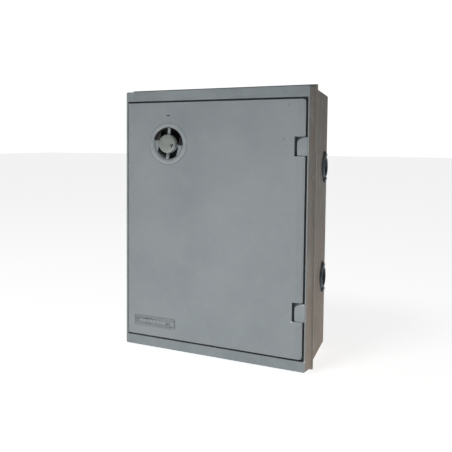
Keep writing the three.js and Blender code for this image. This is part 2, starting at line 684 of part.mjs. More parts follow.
// A spring clip that grips one flat blade of the meter: a U with lips that open to the front.
function jaw() {
  const prong = [[9, -3], [4.3, -3], [4.3, -18], [6.6, -26], [4.8, -26.6], [2.3, -18], [2.3, -3]];
  const shape = new THREE.Shape();
  shape.moveTo(-9, 0);
  shape.lineTo(9, 0);
  prong.forEach(([x, y]) => shape.lineTo(x, y));
  [...prong].reverse().forEach(([x, y]) => shape.lineTo(-x, y));
  const clip = new THREE.ExtrudeGeometry(shape, { depth: JAW_WIDTH, bevelEnabled: false });
  return solid(clip.translate(0, 0, -JAW_WIDTH / 2));
}

function cableLug() {
  const { halfWidth, height, halfLength, wireDepth } = LUG;
  return cut(
    block(-halfWidth, halfWidth, -height, 0, -halfLength, halfLength),
    uprightBar(LUG.wireHole, 0, -wireDepth, -halfLength - 1, halfLength + 1, 20),
    disc(LUG.screwHole, -height - 1, -wireDepth, 0, 0, 16),
  );
}

function socketTerminals() {
  const rows = [['load', -1], ['line', 1]];
  const columns = [['left', -1], ['right', 1]];
  const rear = SOCKET_FRONT - GAP;
  for (const [row, up] of rows) {
    for (const [column, across] of columns) {
      const x = across * SOCKET.columns;
      const jawZ = SOCKET.z + up * SOCKET.jawRow;
      const lugZ = SOCKET.z + up * SOCKET.lugRow;
      place(`${row}_jaw_${column}`, 'copper', jaw()).position.set(x, rear, jawZ);
      place(`${row}_lug_${column}`, 'copper', cableLug()).position.set(x, rear, lugZ);
      placeScrew(`${row}_lug_screw_${column}`, panScrew(LUG_SCREW), x, rear - LUG.height - GAP, lugZ);
    }
  }
}

function terminalBars() {
  const rear = BOARD_FRONT - GAP;
  const front = rear - BAR.thick;
  const [bottom, top] = [SOCKET.z - BAR.halfLength, SOCKET.z + BAR.halfLength];
  for (const [name, x] of BARS) {
    let body = block(x - BAR.halfWidth, x + BAR.halfWidth, front, rear, bottom, top);
    [-1, 1].forEach((side, number) => {
      const z = SOCKET.z + side * BAR.screwOffset;
      body = cut(body, disc(BAR.screwHole, front - 1, rear - 1, x, z, 12));
      placeScrew(`${name}_bar_screw_${number + 1}`, panScrew(BAR_SCREW), x, front - GAP, z);
    });
    place(`${name}_bar`, 'brass', body);
  }
}

// ---- assembly ----------------------------------------------------------------------------

backBox();
frontFrame();
HINGE_HEIGHTS.forEach((height, number) => hinge(LEVELS[number], height));
doorPanel();
doorGasket();
labelPlate();
lockEscutcheon();
turningLock();
ENTRY.heights.forEach((height, number) => sideEntry(LEVELS[number], height));
meterBoard();
socketBase();
socketTerminals();
terminalBars();

export default cabinet;
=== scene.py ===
import json
import math

import bmesh
import bpy
from mathutils import Matrix, Vector


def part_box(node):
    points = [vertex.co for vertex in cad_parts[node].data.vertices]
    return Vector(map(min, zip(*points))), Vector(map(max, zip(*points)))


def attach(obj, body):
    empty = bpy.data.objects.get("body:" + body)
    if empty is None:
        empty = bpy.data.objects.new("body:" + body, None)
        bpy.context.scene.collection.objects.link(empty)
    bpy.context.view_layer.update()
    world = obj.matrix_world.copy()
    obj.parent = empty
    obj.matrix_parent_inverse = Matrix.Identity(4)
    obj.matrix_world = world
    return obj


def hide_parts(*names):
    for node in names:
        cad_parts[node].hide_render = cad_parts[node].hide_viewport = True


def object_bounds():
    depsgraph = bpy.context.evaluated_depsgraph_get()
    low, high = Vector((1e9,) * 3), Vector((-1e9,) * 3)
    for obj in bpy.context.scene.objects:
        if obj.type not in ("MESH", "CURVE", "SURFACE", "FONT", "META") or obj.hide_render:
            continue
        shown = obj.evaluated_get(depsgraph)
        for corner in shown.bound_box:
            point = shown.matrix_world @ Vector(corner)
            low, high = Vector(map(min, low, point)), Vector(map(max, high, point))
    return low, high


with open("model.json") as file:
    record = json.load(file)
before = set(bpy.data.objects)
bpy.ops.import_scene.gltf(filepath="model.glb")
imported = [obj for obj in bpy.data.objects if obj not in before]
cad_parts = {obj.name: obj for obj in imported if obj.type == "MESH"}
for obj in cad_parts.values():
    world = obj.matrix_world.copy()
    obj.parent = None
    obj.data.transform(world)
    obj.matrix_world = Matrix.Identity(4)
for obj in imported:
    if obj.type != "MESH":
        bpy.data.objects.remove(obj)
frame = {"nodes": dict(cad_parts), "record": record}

cad_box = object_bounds()

# The room: a plain pale floor under the cabinet, and a camera that stands to the right of the door,
# at about the height of the lock. The main lamp hangs over the front, and two weak ones fill the
# shade at the foot of the door and along the right side.
scene = bpy.context.scene
scene.view_settings.view_transform = "Standard"
front_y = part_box("front_frame")[0].y
camera_data = bpy.data.cameras.new("camera")
camera = bpy.data.objects.new("camera", camera_data)
scene.collection.objects.link(camera)
camera.location = (0.5426, front_y - 1.2923, 0.1864)
camera_tilt, camera_roll, camera_turn = 90 - 3.68, -0.12, 28.27
camera.rotation_euler = [math.radians(angle) for angle in (camera_tilt, camera_roll, camera_turn)]
camera_data.sensor_width = 36
camera_data.lens = 50.47
camera_data.shift_x = 0.168
camera_data.shift_y = -0.0996
scene.camera = camera


def only(piece):
    """Selects one piece and nothing else, and makes it the active one."""
    bpy.ops.object.select_all(action="DESELECT")
    piece.select_set(True)
    bpy.context.view_layer.objects.active = piece


def named(name):
    """Names the primitive just added and puts its place into its mesh."""
    piece = bpy.context.object
    piece.name = name
    piece.data.name = name
    bpy.ops.object.transform_apply(location=True, rotation=True, scale=True)
    return piece


bpy.ops.object.select_all(action="DESELECT")
bpy.ops.mesh.primitive_plane_add(size=30, location=(0, 4, cad_box[0][2] - 0.0005))
floor = named("floor")
floor_paint = bpy.data.materials.new("floor_paint")
floor_paint.use_nodes = True
floor_shader = floor_paint.node_tree.nodes["Principled BSDF"]
floor_shader.inputs["Base Color"].default_value = (0.92, 0.92, 0.92, 1)
floor_shader.inputs["Roughness"].default_value = 0.95
floor_shader.inputs["Specular IOR Level"].default_value = 0.1
floor_shader.inputs["Emission Color"].default_value = (1, 1, 1, 1)
floor_shader.inputs["Emission Strength"].default_value = 0.75
floor.data.materials.append(floor_paint)


def add_node(tree, kind, sockets=None, **settings):
    """Adds a shader node, joins or fills the sockets given, and sets its other settings."""
    made = tree.nodes.new("ShaderNode" + kind)
    for setting, value in settings.items():
        setattr(made, setting, value)
    for socket, value in (sockets or {}).items():
        if isinstance(value, bpy.types.NodeSocket):
            tree.links.new(value, made.inputs[socket])
        else:
            made.inputs[socket].default_value = value
    return made


world = bpy.data.worlds.new("studio")
world.use_nodes = True
sky = world.node_tree.nodes["Background"]
sky.inputs["Color"].default_value = (1, 1, 1, 1)
light_on_things, light_behind_things = 0.15, 1.05
seen = add_node(world.node_tree, "LightPath").outputs["Is Camera Ray"]
sky_strength = add_node(
    world.node_tree, "MapRange", {0: seen, 3: light_on_things, 4: light_behind_things}).outputs[0]
world.node_tree.links.new(sky_strength, sky.inputs["Strength"])
scene.world = world


def soft_lamp(name, place, aim, size, power):
    """A square lamp of a size in metres and a power in watts, turned to face a point."""
    lamp = bpy.data.lights.new(name, "AREA")
    lamp.shape = "SQUARE"
    lamp.size = size
    lamp.energy = power
    holder = bpy.data.objects.new(name, lamp)
    scene.collection.objects.link(holder)
    holder.location = place
    holder.rotation_euler = (Vector(aim) - Vector(place)).to_track_quat("-Z", "Y").to_euler()


soft_lamp("overhead_lamp", (-0.5, -1.7, 2.3), (0, -0.1, 0), 0.7, 14)
soft_lamp("low_lamp", (-0.05, -0.95, -0.36), (-0.03, -0.19, -0.5), 0.45, 2.9)
soft_lamp("side_lamp", (1.0, -0.5, -0.4), (0.21, -0.1, -0.5), 0.35, 1.7)

# The back box: one deep moulding of grey plastic with drafted walls, screw bosses and stand-offs
# for the board. It came out of the mould with rounded corners, and it has stood in a wall, so its
# sides are stained brown and scraped, warmer towards the foot, where they are also painted paler as
# painted light from below.


def maths(tree, operation, *values, clamp=False):
    """One step of arithmetic on numbers or on other nodes' values."""
    sockets = dict(enumerate(values))
    return add_node(tree, "Math", sockets, operation=operation, use_clamp=clamp).outputs[0]


def mix(tree, factor, first, second):
    """Goes from the first colour to the second as the factor goes from 0 to 1."""
    return add_node(tree, "Mix", {0: factor, 6: first, 7: second}, data_type="RGBA").outputs[2]


def spread(tree, value, low, high):
    """Stretches the values from low to high onto 0 to 1, and holds the rest at the ends."""
    return add_node(tree, "MapRange", {0: value, 1: low, 2: high}).outputs[0]


def object_place(tree, scale=(1, 1, 1)):
    """Each point's place on the cabinet, in metres, stretched if a scale is given."""
    place = add_node(tree, "TexCoord").outputs["Object"]
    return add_node(tree, "Mapping", {"Vector": place, "Scale": scale}).outputs[0]


def place_parts(tree):
    """Each point's place as three separate values."""
    return add_node(tree, "SeparateXYZ", {0: object_place(tree)}).outputs


def normal_parts(tree):
    """The way each point of the surface faces, as three separate values."""
    normal = add_node(tree, "NewGeometry").outputs["Normal"]
    return add_node(tree, "SeparateXYZ", {0: normal}).outputs


def noise(tree, place, scale, detail=3.0, roughness=0.55):
    """Cloudy values from 0 to 1 whose lumps are about a metre divided by the scale."""
    sockets = {"Vector": place, "Scale": scale, "Detail": detail, "Roughness": roughness}
    return add_node(tree, "TexNoise", sockets).outputs[0]


def effect(name, inputs, outputs):
    """An empty shader group with its named sockets, and its two end nodes."""
    group = bpy.data.node_groups.new(name, "ShaderNodeTree")
    for label, kind, value in inputs:
        socket = group.interface.new_socket(label, in_out="INPUT", socket_type="NodeSocket" + kind)
        socket.default_value = value
    for label, kind in outputs:
        group.interface.new_socket(label, in_out="OUTPUT", socket_type="NodeSocket" + kind)
    return group, group.nodes.new("NodeGroupInput").outputs, group.nodes.new("NodeGroupOutput").inputs


def shown(red, green, blue):
    """A colour as a screen shows it, from 0 to 255, made linear for the shader."""
    parts = [part / 255 for part in (red, green, blue)]
    return tuple(p / 12.92 if p < 0.04 else ((p + 0.055) / 1.055) ** 2.4 for p in parts) + (1,)


MIDDLE_GREY = (0.2, 0.2, 0.2, 1)

moulded_skin, given, result = effect(
    "moulded_skin",
    [("Base", "Color", MIDDLE_GREY), ("Light", "Color", MIDDLE_GREY), ("Dark", "Color", MIDDLE_GREY),
     ("Patch Scale", "Float", 7.0), ("Grain Scale", "Float", 900.0)],
    [("Color", "Color"), ("Unevenness", "Float"), ("Height", "Float")],
)
tree = moulded_skin
here = object_place(tree)
patches = noise(tree, here, given["Patch Scale"], 5, 0.6)
clouds = noise(tree, here, 48, 4, 0.6)
specks = noise(tree, here, 320, 3, 0.7)
grain = noise(tree, here, given["Grain Scale"], 2, 0.5)
toned = mix(tree, spread(tree, patches, 0.5, 0.8), given["Base"], given["Light"])
toned = mix(tree, spread(tree, patches, 0.5, 0.22), toned, given["Dark"])
cloudy = maths(tree, "MULTIPLY", spread(tree, clouds, 0.5, 0.74), 0.3)
toned = mix(tree, cloudy, toned, given["Light"])
speckled = maths(tree, "MULTIPLY", spread(tree, specks, 0.55, 0.75), 0.4)
tree.links.new(mix(tree, speckled, toned, given["Dark"]), result["Color"])
half_patches = maths(tree, "MULTIPLY", patches, 0.6)
tree.links.new(maths(tree, "MULTIPLY_ADD", specks, 0.4, half_patches), result["Unevenness"])
half_grain = maths(tree, "MULTIPLY", grain, 0.6)
tree.links.new(maths(tree, "MULTIPLY_ADD", specks, 0.4, half_grain), result["Height"])

streaks, given, result = effect(
    "streaks",
    [("Fineness", "Float", 70.0), ("Length", "Float", 2.5), ("Start", "Float", 0.48),
     ("Full", "Float", 0.7)],
    [("Mask", "Float")],
)
tree = streaks
stretch = {"X": given["Fineness"], "Y": given["Fineness"], "Z": given["Length"]}
stretch = add_node(tree, "CombineXYZ", stretch).outputs[0]
stretched = add_node(tree, "VectorMath", {0: object_place(tree), 1: stretch}, operation="MULTIPLY")
runs = noise(tree, stretched.outputs[0], 1.0, 5, 0.62)
tree.links.new(spread(tree, runs, given["Start"], given["Full"]), result["Mask"])

# Pale edges: partly wear, partly painted highlight along the rounded edges.
edge_wear_and_highlight, given, result = effect(
    "edge_wear_and_highlight", [("Radius", "Float", 0.0015), ("Patch Scale", "Float", 60.0)], [("Mask", "Float")])
tree = edge_wear_and_highlight
rounded_normal = add_node(tree, "Bevel", {"Radius": given["Radius"]}, samples=4).outputs[0]
plain_normal = add_node(tree, "NewGeometry").outputs["Normal"]
likeness = add_node(
    tree, "VectorMath", {0: rounded_normal, 1: plain_normal}, operation="DOT_PRODUCT")
at_edge = spread(tree, likeness.outputs["Value"], 0.985, 0.9)
broken = spread(tree, noise(tree, object_place(tree), given["Patch Scale"], 4, 0.7), 0.36, 0.6)
tree.links.new(maths(tree, "MULTIPLY", at_edge, broken, clamp=True), result["Mask"])

settled_dust, given, result = effect(
    "settled_dust", [("Patch Scale", "Float", 25.0)], [("Mask", "Float")])
tree = settled_dust
dusty = spread(tree, noise(tree, object_place(tree), given["Patch Scale"], 5, 0.6), 0.3, 0.62)
facing_up = spread(tree, normal_parts(tree)["Z"], 0.35, 0.95)
tree.links.new(maths(tree, "MULTIPLY", facing_up, dusty, clamp=True), result["Mask"])


def moulding(name, base, light, dark, roughness, grain=0.3, patch=7.0, wear_and_sheen=0.35, dust=0.3):
    """A moulded plastic: a mottled skin, pale edges that are partly wear and partly painted highlight,
    and a little dust on what faces up.
    """
    material = bpy.data.materials.new(name)
    material.use_nodes = True
    tree = material.node_tree
    shader = tree.nodes["Principled BSDF"]
    tones = {"Base": base, "Light": light, "Dark": dark, "Patch Scale": patch}
    skin = add_node(tree, "Group", node_tree=moulded_skin)
    for label, value in tones.items():
        skin.inputs[label].default_value = value
    worn_and_lit_edges = add_node(tree, "Group", node_tree=edge_wear_and_highlight).outputs[0]
    dusted = add_node(tree, "Group", node_tree=settled_dust).outputs[0]
    # The edges are painted paler: partly wear, partly painted highlight.
    bare_and_lit_edge = tuple(min(1, part * 1.5) for part in light[:3]) + (1,)
    dust_grey = shown(168, 163, 154)
    colour = mix(tree, maths(tree, "MULTIPLY", worn_and_lit_edges, wear_and_sheen), skin.outputs["Color"], bare_and_lit_edge)
    colour = mix(tree, maths(tree, "MULTIPLY", dusted, dust), colour, dust_grey)
    tree.links.new(colour, shader.inputs["Base Color"])
    rough = maths(tree, "MULTIPLY_ADD", skin.outputs["Unevenness"], 0.24, roughness - 0.12)
    tree.links.new(rough, shader.inputs["Roughness"])
    relief = {"Height": skin.outputs["Height"], "Strength": grain, "Distance": 0.0003}
    tree.links.new(add_node(tree, "Bump", relief).outputs[0], shader.inputs["Normal"])
    return material, tree, shader


def over(tree, shader, mask, colour):
    """Lays one more colour over what the shader already shows, where the mask is."""
    below = shader.inputs["Base Color"].links[0].from_socket
    tree.links.new(mix(tree, mask, below, colour), shader.inputs["Base Color"])


def masked(tree, group, strength=1.0, **values):
    """Places an effect that puts out a mask, with its own values, and scales it."""
    placed = add_node(tree, "Group", node_tree=group)
    for label, value in values.items():
        placed.inputs[label.replace("_", " ")].default_value = value
    return maths(tree, "MULTIPLY", placed.outputs["Mask"], strength)


body_of = {
    node: body for body, nodes in frame["record"]["behaviour"]["bodies"].items() for node in nodes}


def stands_for(piece, node, material):
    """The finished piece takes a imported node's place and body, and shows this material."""
    piece.data.materials.clear()
    piece.data.materials.append(material)
    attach(piece, body_of[node])
    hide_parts(node)


def apply_modifier(piece, kind, **settings):
    """Adds one modifier to a piece and applies it at once."""
    only(piece)
    modifier = piece.modifiers.new("step", kind)
    for setting, value in settings.items():
        setattr(modifier, setting, value)
    bpy.ops.object.modifier_apply(modifier="step")


def rounded(piece, radius, segments=3, angle=32):
    """Rounds every edge sharper than the angle, and keeps the flat faces flat."""
    only(piece)
    bpy.ops.object.shade_smooth()
    apply_modifier(
        piece, "BEVEL", width=radius, segments=segments, limit_method="ANGLE",
        angle_limit=math.radians(angle), use_clamp_overlap=True, miter_outer="MITER_ARC")
    apply_modifier(piece, "WEIGHTED_NORMAL", mode="FACE_AREA", weight=80, keep_sharp=False)
    return piece


def whole_copy(node, name):
    """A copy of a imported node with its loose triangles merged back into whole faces."""
    piece = bpy.data.objects.new(name, frame["nodes"][node].data.copy())
    piece.data.name = name
    scene.collection.objects.link(piece)
    only(piece)
    if piece.data.has_custom_normals:
        bpy.ops.mesh.customdata_custom_splitnormals_clear()
    bpy.ops.object.mode_set(mode="EDIT")
    bpy.ops.mesh.select_all(action="SELECT")
    bpy.ops.mesh.remove_doubles(threshold=0.00002)
    bpy.ops.mesh.dissolve_limited(angle_limit=math.radians(0.6))
    bpy.ops.object.mode_set(mode="OBJECT")
    return piece


blotches, given, result = effect(
    "blotches",
    [("Patch Scale", "Float", 40.0), ("Start", "Float", 0.55), ("Full", "Float", 0.68)],
    [("Mask", "Float")])
tree = blotches
broad = noise(tree, object_place(tree, (1, 1, 0.55)), given["Patch Scale"], 6, 0.68)
tree.links.new(spread(tree, broad, given["Start"], given["Full"]), result["Mask"])


def side_stain(tree, shader, where=1.0):
    """Brown film, streaks, reddish smears and pale scrapes; the film is warmer towards the foot and
    painted paler there, as painted light from below.
    """
    parts = place_parts(tree)
    # Towards the foot the film turns warmer and paler; the paleness is painted light from below.
    foot_warmth_and_light = spread(tree, parts["Z"], 0.05, -0.28)
    film_lit_at_foot = mix(tree, foot_warmth_and_light, shown(112, 109, 104), shown(146, 130, 112))
    over(tree, shader, maths(tree, "MULTIPLY", where, 0.9), film_lit_at_foot)
    for strength, values, colour in (
        (0.4, {"Fineness": 70.0, "Length": 5.0}, shown(92, 82, 74)),
        (0.5, {"Fineness": 26.0, "Length": 6.0, "Start": 0.5, "Full": 0.75}, shown(126, 98, 80)),
        (0.25, {"Fineness": 90.0, "Length": 18.0, "Start": 0.56, "Full": 0.74}, shown(170, 166, 158)),
    ):
        run = masked(tree, streaks, strength, **values)
        over(tree, shader, maths(tree, "MULTIPLY", where, run), colour)
    for strength, values, colour in (
        (0.6, {"Patch_Scale": 26.0, "Start": 0.5, "Full": 0.66}, shown(88, 82, 76)),
        (0.6, {"Patch_Scale": 52.0, "Start": 0.54, "Full": 0.68}, shown(164, 162, 156)),
        (0.5, {"Patch_Scale": 20.0, "Start": 0.5, "Full": 0.68}, shown(132, 102, 84)),
    ):
        patch = masked(tree, blotches, strength, **values)
        over(tree, shader, maths(tree, "MULTIPLY", where, patch), colour)
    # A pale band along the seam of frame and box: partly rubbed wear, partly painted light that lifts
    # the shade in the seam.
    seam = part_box("front_frame")[1].y
    from_seam = maths(tree, "ABSOLUTE", maths(tree, "SUBTRACT", parts["Y"], seam))
    seam_reach, seam_core = 0.0085, 0.003
    seam_rub_and_light = maths(tree, "MULTIPLY", spread(tree, from_seam, seam_reach, seam_core), 0.6)
    over(tree, shader, maths(tree, "MULTIPLY", where, seam_rub_and_light), shown(168, 163, 155))


box_moulding = rounded(whole_copy("back_box", "box_moulding"), 0.0011)
box_plastic, tree, shader = moulding(
    "box_plastic", shown(122, 116, 108), shown(150, 142, 131), shown(96, 88, 81), 0.6,
    grain=0.45, patch=6, wear_and_sheen=0.3, dust=0.35)
side_stain(tree, shader)
stands_for(box_moulding, "back_box", box_plastic)

# The cable entries: each is a dark moulded bush with two ears, pushed through the side wall from
# outside, held by a ring nut inside and by a small screw through each ear.


def turned(name, profile, base, axis, out, steps=96):
    """Draws a profile of (radius, distance along the axis) from a point and spins it all round."""
    base, axis, out = Vector(base), Vector(axis).normalized(), Vector(out).normalized()
    points = [base + axis * along + out * radius for radius, along in profile]
    bpy.ops.object.select_all(action="DESELECT")
    bpy.ops.mesh.primitive_plane_add(size=0.002, location=points[0])
    piece = named(name)
    bpy.ops.object.mode_set(mode="EDIT")
    bpy.ops.mesh.select_mode(type="VERT")
    bpy.ops.mesh.select_all(action="SELECT")
    bpy.ops.mesh.merge(type="CENTER")
    for here, there in zip(points, points[1:]):
        step = there - here
        bpy.ops.mesh.extrude_region_move(TRANSFORM_OT_translate={"value": step})
    bpy.ops.mesh.select_all(action="SELECT")
    bpy.ops.mesh.spin(steps=steps, angle=math.tau, center=base, axis=axis)
    bpy.ops.mesh.select_all(action="SELECT")
    bpy.ops.mesh.remove_doubles(threshold=0.00001)
    bpy.ops.mesh.normals_make_consistent(inside=False)
    bpy.ops.object.mode_set(mode="OBJECT")
    return piece


def joined(piece, tool, how="UNION"):
    """Adds a second shape to a piece, or takes it away, and drops the second shape."""
    apply_modifier(piece, "BOOLEAN", operation=how, object=tool, solver="EXACT")
    bpy.data.objects.remove(tool)
    return piece


def bar(name, size, centre, turn=(0, 0, 0)):
    """A squared bar to add to a piece or to cut from it."""
    bpy.ops.object.select_all(action="DESELECT")
    bpy.ops.mesh.primitive_cube_add(size=1, location=centre, rotation=turn)
    bpy.context.object.scale = size
    return named(name)


def repeated(piece, name, shift, turn=0.0, centre=(0, 0, 0), axis=(0, 1, 0)):
    """Another copy of a finished piece with a mesh of its own, turned about an axis and moved."""
    copy = bpy.data.objects.new(name, piece.data.copy())
    copy.data.name = name
    scene.collection.objects.link(copy)
    pivot = Matrix.Translation(Vector(centre))
    spun = pivot @ Matrix.Rotation(turn, 4, Vector(axis)) @ pivot.inverted()
    copy.data.transform(Matrix.Translation(Vector(shift)) @ spun)
    return copy


def middle(node):
    """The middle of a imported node's box."""
    low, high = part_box(node)
    return (low + high) / 2


entry_plastic, tree, shader = moulding(
    "entry_plastic", shown(62, 72, 80), shown(84, 94, 101), shown(40, 46, 52), 0.45,
    grain=0.25, patch=30, wear_and_sheen=0.5, dust=0.45)
over(tree, shader, masked(tree, streaks, 0.4, Fineness=140.0, Length=20.0), shown(92, 74, 60))

low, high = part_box("lower_entry_bush")
bore, sleeve, flange, ear = 0.019, 0.0234, 0.026, 0.008
ear_offset = (high.z - low.z) / 2 - ear
plate, collar, inner_end = 0.0030, 0.0050, -0.014
wall_gap, wall_draft = 0.0003, 0.008
frame_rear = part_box("front_frame")[1].y
lean = math.atan2(wall_draft, -frame_rear - wall_gap)
outward = Vector((math.cos(lean), math.sin(lean), 0))
upright = Vector((0, 0, 1))
wall_point = Vector((0, (low.y + high.y) / 2, (low.z + high.z) / 2))
wall_point.x = high.x - collar * outward.x - flange * math.sin(lean)
bush = turned("lower_entry_collar", [
    (bore, inner_end), (sleeve, inner_end), (sleeve, wall_gap), (flange, wall_gap),
    (flange, plate), (sleeve + 0.0012, plate), (sleeve, plate + 0.0008), (sleeve - 0.0006, collar),
    (bore + 0.0012, collar), (bore, collar - 0.0012), (bore, inner_end),
], wall_point, outward, upright)
ear_chamfer = 0.0008
for side in (-1, 1):
    lobe = turned("lobe", [
        (0, wall_gap), (ear, wall_gap), (ear, collar - ear_chamfer), (ear - ear_chamfer, collar),
        (0, collar)], wall_point + upright * ear_offset * side, outward, upright, 40)
    joined(bush, lobe)
ear_hole, hole_start, hole_end = 0.0019, -0.002, 0.007
for side in (-1, 1):
    hole = turned("hole", [
        (0, hole_start), (ear_hole, hole_start), (ear_hole, hole_end), (0, hole_end)],
        wall_point + upright * ear_offset * side, outward, upright, 24)
    joined(bush, hole, "DIFFERENCE")
rounded(bush, 0.0006, 2)
shift = middle("upper_entry_bush") - middle("lower_entry_bush")
upper_bush = repeated(bush, "upper_entry_collar", shift)
stands_for(bush, "lower_entry_bush", entry_plastic)
stands_for(upper_bush, "upper_entry_bush", entry_plastic)

nut_radius, nut_thick, box_wall = 0.030, 0.006, 0.004
nut_outer = -box_wall - wall_gap
nut_inner = nut_outer - nut_thick
thread = sleeve + 0.0003
nut_rim = nut_radius - 0.0008
nut = turned("lower_ring_nut", [
    (thread, nut_inner), (nut_radius - 0.002, nut_inner), (nut_rim, nut_inner + 0.0012),
    (nut_rim, nut_outer), (thread, nut_outer), (thread, nut_inner),
], wall_point, outward, upright, 48)
grips, grip_radius, grip_reach = 12, 0.0028, 0.006
for number in range(grips):
    turn_by = math.tau * number / grips
    grip = wall_point + outward * (nut_outer - nut_thick / 2)
    grip += (upright * math.cos(turn_by) + outward.cross(upright) * math.sin(turn_by)) * nut_radius
    notch = turned("notch", [
        (0, -grip_reach), (grip_radius, -grip_reach), (grip_radius, grip_reach), (0, grip_reach)],
        grip, outward, upright, 16)
    joined(nut, notch, "DIFFERENCE")
rounded(nut, 0.0005, 2)
upper_nut = repeated(nut, "upper_ring_nut", shift)
stands_for(nut, "lower_entry_locknut", entry_plastic)
stands_for(upper_nut, "upper_entry_locknut", entry_plastic)

# The screws are zinc-plated steel with a domed pan head and a straight slot. Each kind is made
# once and copied to its places, with every slot left at an angle of its own.
metal_grain, given, result = effect(
    "metal_grain", [("Scale", "Float", 400.0), ("Stain Scale", "Float", 60.0)],
    [("Height", "Float"), ("Stain", "Float"), ("Unevenness", "Float")])
tree = metal_grain
here = object_place(tree)
fine = noise(tree, here, given["Scale"], 3, 0.6)
stains = noise(tree, here, given["Stain Scale"], 5, 0.65)
tree.links.new(fine, result["Height"])
tree.links.new(spread(tree, stains, 0.5, 0.72), result["Stain"])
half_stains = maths(tree, "MULTIPLY", stains, 0.5)
tree.links.new(maths(tree, "MULTIPLY_ADD", fine, 0.5, half_stains), result["Unevenness"])


def metal(name, base, stain, roughness, stained=0.6, scale=400.0, stain_scale=60.0):
    """A bare or plated metal: fine grain, dull patches of stain, and bright edges that are partly wear
    and partly painted highlight.
    """
    material = bpy.data.materials.new(name)
    material.use_nodes = True
    tree = material.node_tree
    shader = tree.nodes["Principled BSDF"]
    shader.inputs["Metallic"].default_value = 1.0
    grained = add_node(tree, "Group", node_tree=metal_grain)
    grained.inputs["Scale"].default_value = scale
    grained.inputs["Stain Scale"].default_value = stain_scale
    dulled = maths(tree, "MULTIPLY", grained.outputs["Stain"], stained)
    colour = mix(tree, dulled, base, stain)
    bright = tuple(min(1, part * 1.3) for part in base[:3]) + (1,)
    # Bright edges: partly wear, partly painted highlight.
    colour = mix(tree, masked(tree, edge_wear_and_highlight, 0.5, Radius=0.0006), colour, bright)
    tree.links.new(colour, shader.inputs["Base Color"])
    rough = maths(tree, "MULTIPLY_ADD", grained.outputs["Unevenness"], 0.3, roughness - 0.12)
    tree.links.new(rough, shader.inputs["Roughness"])
    relief = {"Height": grained.outputs["Height"], "Strength": 0.2, "Distance": 0.0002}
    tree.links.new(add_node(tree, "Bump", relief).outputs[0], shader.inputs["Normal"])
    return material


plated_steel = metal("plated_steel", shown(176, 178, 180), shown(128, 120, 108), 0.42)


def dome(radius, height, rings=5):
    """A head's profile from the middle of its top to the edge of its underside."""
    points = []
    for ring in range(rings + 1):
        angle = math.pi / 2 * ring / rings
        points.append((radius * math.sin(angle), height * 0.75 * (1 - math.cos(angle))))
    return points + [(radius, height)]


def pan_screws(nodes, head_height, shank, head_at):
    """One pan-head screw made in the first node's space, and copied to the other nodes."""
    low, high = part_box(nodes[0])
    centre = (low + high) / 2
    along = Vector({"front": (0, 1, 0), "rear": (0, -1, 0), "side": -outward}[head_at])
    reach = (high.x - low.x) if head_at == "side" else (high.y - low.y)
    head = (high.z - low.z) / 2
    top = centre - along * reach / 2
    profile = dome(head, head_height)
    profile += [(shank, head_height), (shank, reach - shank), (shank * 0.3, reach), (0, reach)]
    screw = turned(nodes[0] + "_made", profile, top, along, upright, 32)
    slot_turn = (0, 0, lean) if head_at == "side" else (0, 0, 0)
    width, length = 0.9 * shank / 2 + 0.0002, head * 2.4
    size = (head_height, width, length) if head_at == "side" else (width, head_height, length)
    slot = bar("slot", size, top, slot_turn)
    joined(screw, slot, "DIFFERENCE")
    rounded(screw, 0.00015, 1, 40)
    for number, node in enumerate(nodes):
        turn = math.radians(37 + 61 * number)
        copy = repeated(screw, node + "_turned", middle(node) - centre, turn, centre, along)
        stands_for(copy, node, plated_steel)
    bpy.data.objects.remove(screw)


def numbered(name, count):
    """The names of like pieces that are counted from one."""
    return [f"{name}_{number}" for number in range(1, count + 1)]


pan_screws(numbered("lower_entry_screw", 2) + numbered("upper_entry_screw", 2), 0.002, 0.0016, "side")
pan_screws(numbered("board_screw", 4), 0.0026, 0.0022, "front")

# The meter board: a sheet of 12 mm plywood, sealed on its face and sawn square, with its plies
# showing at the edges. Four screws hold it on the box's stand-offs.
board_wood = bpy.data.materials.new("board_wood")
board_wood.use_nodes = True
tree = board_wood.node_tree
shader = tree.nodes["Principled BSDF"]
grain_place = object_place(tree, (26, 26, 1.6))
sway = add_node(tree, "TexNoise", {"Vector": object_place(tree), "Scale": 5.0}).outputs[1]
warped = add_node(tree, "VectorMath", {0: grain_place, 1: sway}, operation="ADD").outputs[0]
rings = noise(tree, warped, 1.6, 6, 0.6)
fibres = noise(tree, object_place(tree, (900, 900, 22)), 1.0, 3, 0.6)
plies = add_node(tree, "TexWave", {"Vector": object_place(tree), "Scale": 160.0, "Distortion": 0.6},
                 wave_type="BANDS", bands_direction="Y").outputs[1]
tone = mix(tree, spread(tree, rings, 0.4, 0.62), shown(186, 152, 108), shown(150, 112, 72))
tone = mix(tree, maths(tree, "MULTIPLY", spread(tree, fibres, 0.5, 0.7), 0.5), tone, shown(112, 80, 50))
at_side = spread(tree, maths(tree, "ABSOLUTE", normal_parts(tree)["Y"]), 0.7, 0.3)
tone = mix(tree, maths(tree, "MULTIPLY", at_side, plies), tone, shown(96, 66, 42))
tree.links.new(tone, shader.inputs["Base Color"])
tree.links.new(maths(tree, "MULTIPLY_ADD", fibres, 0.2, 0.5), shader.inputs["Roughness"])
relief = {"Height": fibres, "Strength": 0.25, "Distance": 0.0003}
tree.links.new(add_node(tree, "Bump", relief).outputs[0], shader.inputs["Normal"])
board_sheet = rounded(whole_copy("meter_board", "board_sheet"), 0.0012, 2)
stands_for(board_sheet, "meter_board", board_wood)

# The meter socket: a black-brown compression moulding with a raised cross between its poles. Four
# tinned copper spring jaws take the meter's blades, and a cable lug stands beyond each jaw.
socket_plastic, tree, shader = moulding(
    "socket_plastic", shown(52, 42, 38), shown(70, 58, 52), shown(34, 27, 25), 0.4,
    grain=0.15, patch=40, wear_and_sheen=0.5, dust=0.5)
socket_moulding = rounded(whole_copy("socket_base", "socket_moulding"), 0.0016)
stands_for(socket_moulding, "socket_base", socket_plastic)

